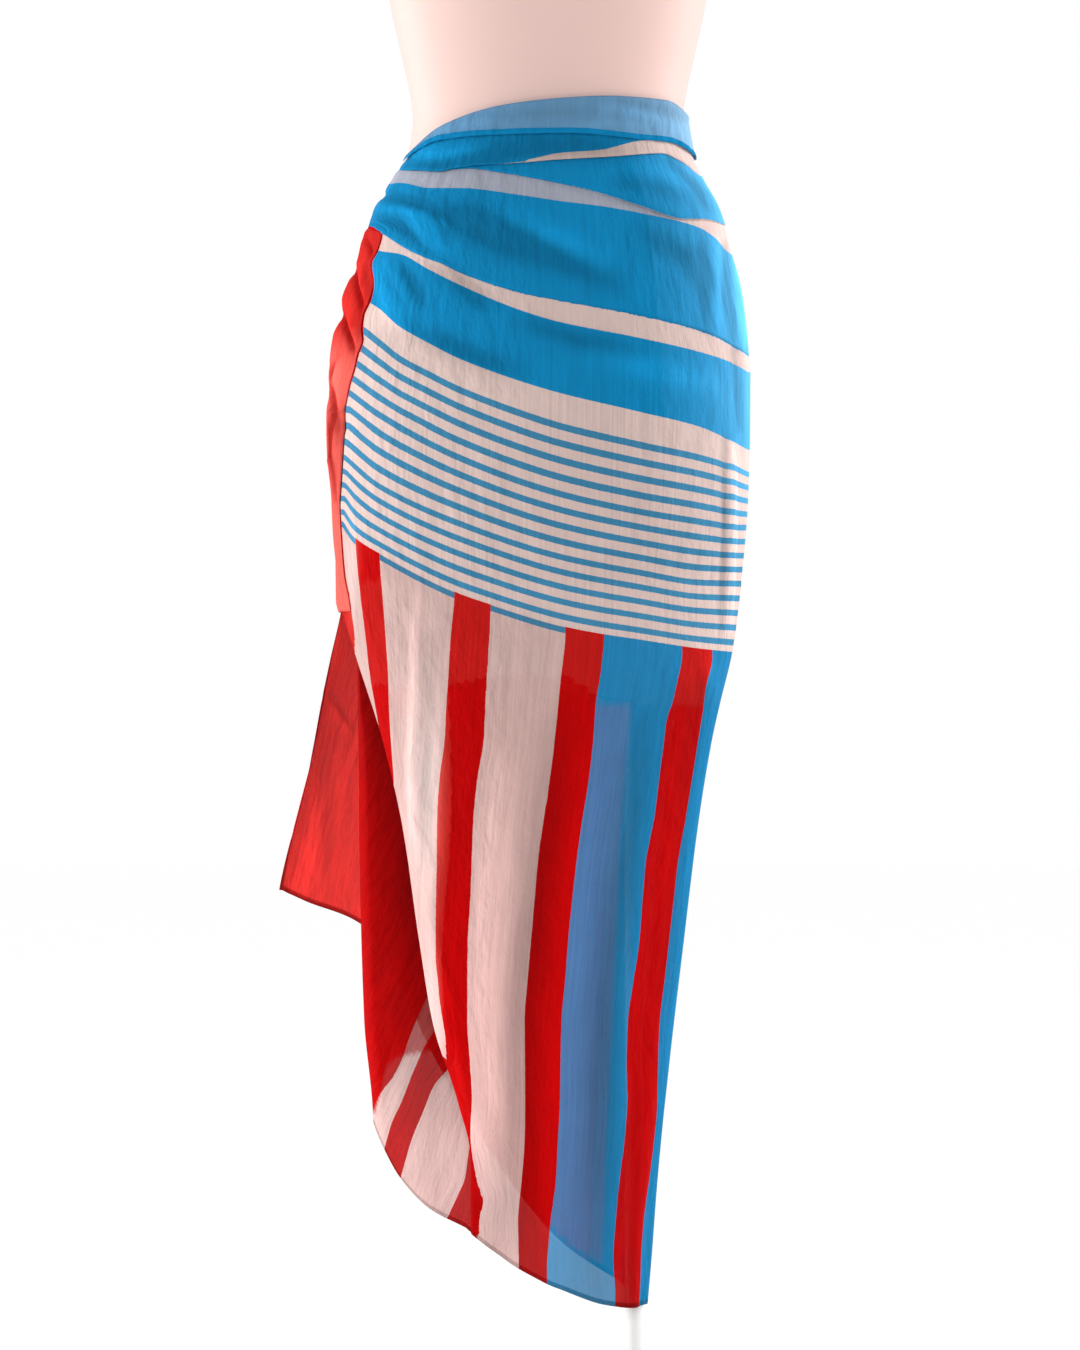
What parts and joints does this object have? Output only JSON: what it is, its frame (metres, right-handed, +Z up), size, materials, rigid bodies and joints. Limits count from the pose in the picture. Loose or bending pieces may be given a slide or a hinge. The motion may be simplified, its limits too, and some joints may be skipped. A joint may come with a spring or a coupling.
{
  "type": "sarong on a dress form",
  "caption": "Long striped sarong wrapped round the hips and knotted at one side, on a pale limbless dress form that stands on a pole and a round base.",
  "frame": {"origin": "centre of the underside of the round base plate", "axes": "+Z up along the form, the wearer faces -Y, +X is the wearer's left"},
  "size_m": [0.4141, 0.32, 1.6883],
  "materials": {
    "form_skin": "smooth pale pink shell with a soft sheen",
    "stand_white": "white powder coat",
    "cloth_blue": "sheer plain-woven cloth, blue and white stripes, matt",
    "cloth_red": "sheer plain-woven cloth, red, matt"
  },
  "bodies": {
    "root": {"form_torso": "form_skin", "form_neck_cap": "stand_white", "stand_base": "stand_white", "stand_socket": "stand_white", "stand_pole": "stand_white", "stand_flange": "stand_white", "wrap_front": "cloth_blue", "wrap_back": "cloth_red", "wrap_fall": "cloth_red", "side_gathers": "cloth_red", "waist_cuff": "cloth_blue", "knot_bundle": "cloth_red", "knot_band": "cloth_red"}
  },
  "joints": []
}
